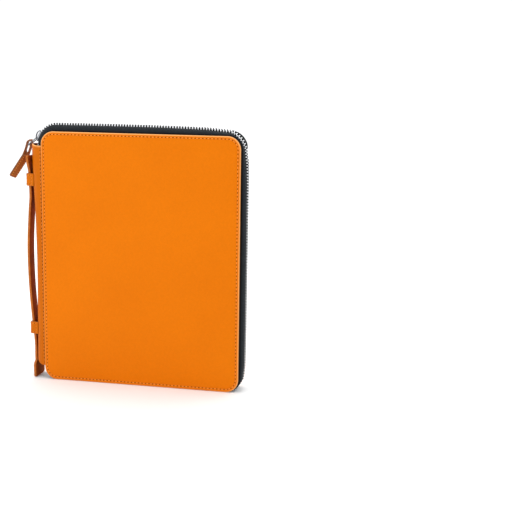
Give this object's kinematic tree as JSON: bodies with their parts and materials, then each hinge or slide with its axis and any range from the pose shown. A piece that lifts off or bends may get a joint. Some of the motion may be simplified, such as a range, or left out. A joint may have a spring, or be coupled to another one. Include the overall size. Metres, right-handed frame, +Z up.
{
  "type": "travel document folder",
  "caption": "Slim zip-around leather document folder with a spine handle held by two keepers, standing upright and closed; padded covers, metal zip and a leather pull tab.",
  "frame": {"origin": "on the surface the folder stands on, under the middle of its bounding box", "axes": "+X from the spine and handle towards the zip side, +Y from the front cover to the back cover, +Z up along the spine"},
  "size_m": [0.2638, 0.028, 0.2784],
  "materials": {
    "cover_leather": "smooth fine-grained orange leather, soft sheen",
    "edge_leather": "the same leather, in a deeper orange, on the spine, handle and keepers",
    "tab_leather": "brown-orange leather with a cut edge",
    "zip_tape": "woven dark grey tape",
    "zip_metal": "bright silver",
    "lining_cloth": "plain dark grey cloth"
  },
  "bodies": {
    "folder": {"front_cover": "cover_leather", "back_cover": "cover_leather", "spine": "edge_leather", "zip_tape_front": "zip_tape", "zip_tape_back": "zip_tape", "zip_chain": "zip_metal", "zip_slider": "zip_metal", "handle": "edge_leather", "keeper_upper": "edge_leather", "keeper_lower": "edge_leather", "lining_front": "lining_cloth", "lining_back": "lining_cloth", "document_pocket": "lining_cloth", "passport_pocket": "lining_cloth", "card_slot_1": "lining_cloth", "card_slot_2": "lining_cloth", "card_slot_3": "lining_cloth", "pen_loop": "lining_cloth"},
    "zip_pull": {"pull_ring": "zip_metal", "pull_tab": "tab_leather"}
  },
  "joints": [
    {"name": "zip_pull_hinge", "type": "hinge", "parent": "folder", "child": "zip_pull", "pos_m": [-0.0993, 0, 0.26271], "axis": [0, 1, 0], "range_deg": [0, 120]}
  ]
}
